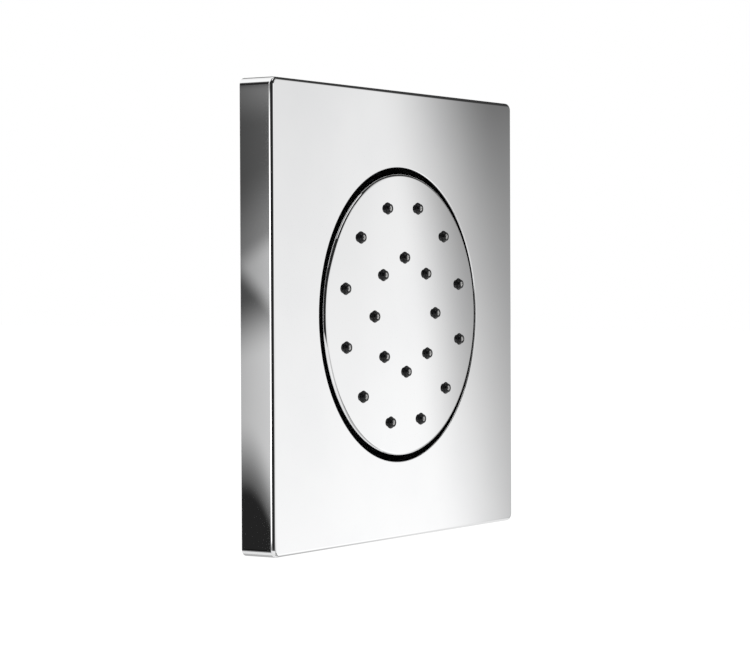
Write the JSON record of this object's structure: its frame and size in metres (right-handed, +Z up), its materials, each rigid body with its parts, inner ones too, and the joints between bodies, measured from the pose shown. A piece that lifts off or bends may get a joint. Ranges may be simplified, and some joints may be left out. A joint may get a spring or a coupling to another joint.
{
  "type": "shower body jet",
  "caption": "Square flush-fitting shower body jet with a round spray head that swivels on a ball joint, rubber nozzles, and a threaded inlet behind its wall flange.",
  "frame": {"origin": "centre of the wall plane, on the axis of the inlet", "axes": "+X to the right seen from the front, +Y into the wall along the inlet, +Z up; at rest the jet sprays toward -Y"},
  "size_m": [0.12, 0.0485, 0.12],
  "materials": {
    "chrome": "polished chrome plating",
    "nozzle_rubber": "satin moulded silicone",
    "black_plastic": "fine-textured moulding",
    "acetal": "turned acetal",
    "limiter_plastic": "moulded",
    "seal_rubber": "matt rubber",
    "gasket_foam": "closed-cell foam",
    "brass": "turned, bare",
    "steel": "plain",
    "steel_mesh": "woven mesh",
    "spring_steel": "rolled strip"
  },
  "bodies": {
    "wall_unit": {"cover_plate": "chrome", "cover_clip_top": "spring_steel", "cover_clip_bottom": "spring_steel", "cover_clip_left": "spring_steel", "cover_clip_right": "spring_steel", "mounting_cup": "black_plastic", "wall_gasket": "gasket_foam", "ball_stem": "brass", "stem_washer": "seal_rubber", "lock_washer": "steel", "lock_nut": "brass", "limiter_seal": "seal_rubber", "flow_limiter": "limiter_plastic", "strainer": "steel_mesh"},
    "rear_seat": {"friction_ring": "acetal"},
    "front_seat": {"cup_seal": "seal_rubber"},
    "spray_head": {"spray_face": "chrome", "nozzle_mat": "nozzle_rubber", "jet_housing": "black_plastic", "gland_nut": "acetal", "face_screws": "steel"}
  },
  "joints": [
    {"name": "tilt_up_down", "type": "hinge", "parent": "wall_unit", "child": "rear_seat", "pos_m": [0, 0.001, 0], "axis": [1, 0, 0], "range_deg": [-8, 8]},
    {"name": "tilt_side", "type": "hinge", "parent": "rear_seat", "child": "front_seat", "pos_m": [0, 0.001, 0], "axis": [0, 0, 1], "range_deg": [-8, 8]},
    {"name": "spin", "type": "hinge", "parent": "front_seat", "child": "spray_head", "pos_m": [0, 0.001, 0], "axis": [0, 1, 0], "continuous": true}
  ]
}
